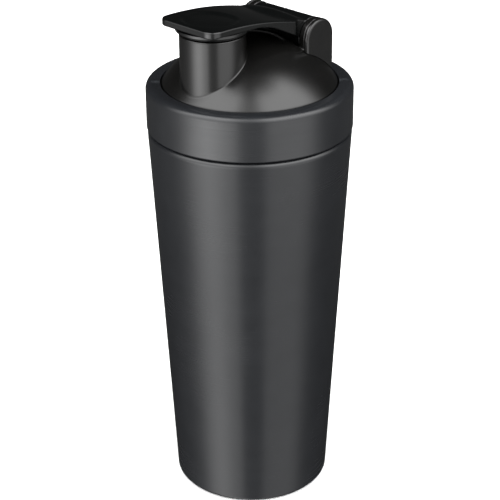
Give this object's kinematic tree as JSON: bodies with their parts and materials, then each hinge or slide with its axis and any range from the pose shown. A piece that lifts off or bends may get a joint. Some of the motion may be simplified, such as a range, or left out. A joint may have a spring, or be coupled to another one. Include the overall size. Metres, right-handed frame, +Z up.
{
  "type": "protein shaker bottle",
  "caption": "Tapered double-walled steel shaker with a screw-on domed lid, painted collar, capped pouring spout on a hinged lever, and a snap-in mixing grid.",
  "frame": {"origin": "centre of the base, on the surface that the bottle stands on", "axes": "+Z up along the cup's axis; +X from the spout towards the cap's hinge; +Y along the hinge pin"},
  "size_m": [0.09, 0.09, 0.2287],
  "materials": {
    "painted_steel": "dark anthracite satin paint with a very fine horizontal brush grain",
    "brushed_steel": "bare stainless steel, brushed round the axis",
    "satin_plastic": "black satin moulded plastic",
    "gloss_plastic": "black semi-gloss moulded plastic",
    "grid_plastic": "dark grey translucent-looking moulded plastic",
    "seal_rubber": "soft dark grey silicone",
    "base_rubber": "matt black silicone",
    "pin_steel": "turned stainless steel",
    "seal_glass": "fused sealing bead"
  },
  "bodies": {
    "cup": {"outer_shell": "painted_steel", "inner_liner": "brushed_steel", "bottom_plate": "brushed_steel", "getter_cup": "brushed_steel", "seal_bead": "seal_glass", "base_pad": "base_rubber"},
    "gasket": {"lid_gasket": "seal_rubber"},
    "lid": {"collar": "painted_steel", "thread_ring": "satin_plastic", "lid_dome": "satin_plastic", "hinge_cover_left": "satin_plastic", "hinge_cover_right": "satin_plastic", "hinge_pin": "pin_steel"},
    "grid": {"mixing_grid": "grid_plastic"},
    "cap": {"flip_cap": "gloss_plastic", "spout_plug": "gloss_plastic", "spout_seal": "seal_rubber"}
  },
  "joints": [
    {"name": "lid_lift", "type": "slide", "parent": "cup", "child": "gasket", "axis": [0, 0, 1], "range_m": [0, 0.008]},
    {"name": "lid_turn", "type": "hinge", "parent": "gasket", "child": "lid", "pos_m": [0, 0, 0.1748], "axis": [0, 0, 1], "range_deg": [0, 360]},
    {"name": "cap_flip", "type": "hinge", "parent": "lid", "child": "cap", "pos_m": [0.0226, 0, 0.2133], "axis": [0, 1, 0], "range_deg": [0, 160]},
    {"name": "grid_release", "type": "slide", "parent": "lid", "child": "grid", "axis": [0, 0, -1], "range_m": [0, 0.012]}
  ],
  "couplings": [
    {"joint": "lid_lift", "follows": "lid_turn", "m_per_rad": 0.0012732}
  ]
}
